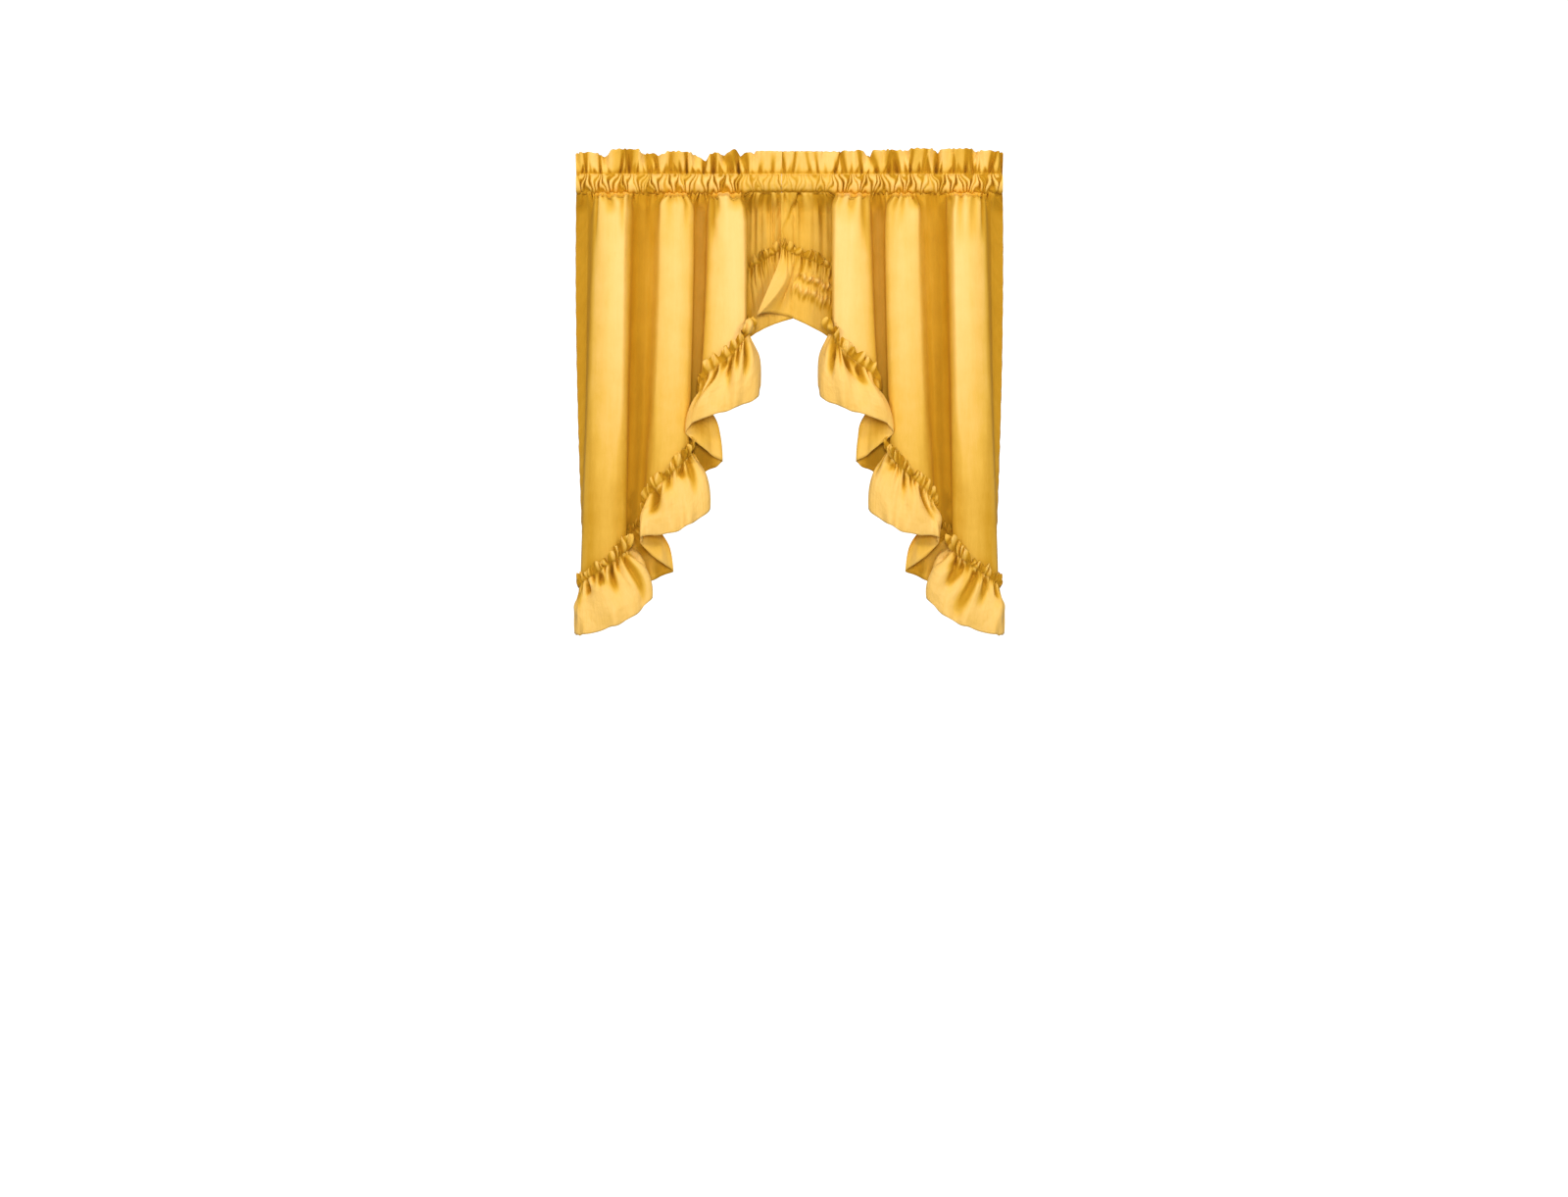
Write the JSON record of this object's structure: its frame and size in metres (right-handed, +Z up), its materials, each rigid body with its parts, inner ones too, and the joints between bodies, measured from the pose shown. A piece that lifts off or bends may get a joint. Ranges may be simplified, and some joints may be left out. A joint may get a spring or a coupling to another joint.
{
  "type": "window swag",
  "caption": "Ruffled window swag in two halves that hang side by side from a rod pocket, short at the middle and long at the sides, with a gathered ruffle along each slanted lower edge",
  "frame": {"origin": "on the axis of the rod pocket, at the middle of the swag's width", "axes": "+X runs along the rod to the right as seen from the room, +Z is up, and -Y faces the room, so the window is on the +Y side"},
  "size_m": [0.85, 0.0942, 0.964],
  "materials": {
    "heading_cloth": "satin",
    "panel_cloth": "satin",
    "ruffle_cloth": "satin"
  },
  "bodies": {
    "root": {"left_heading": "heading_cloth", "right_heading": "heading_cloth", "left_panel": "panel_cloth", "right_panel": "panel_cloth", "left_ruffle": "ruffle_cloth", "right_ruffle": "ruffle_cloth"}
  },
  "joints": []
}
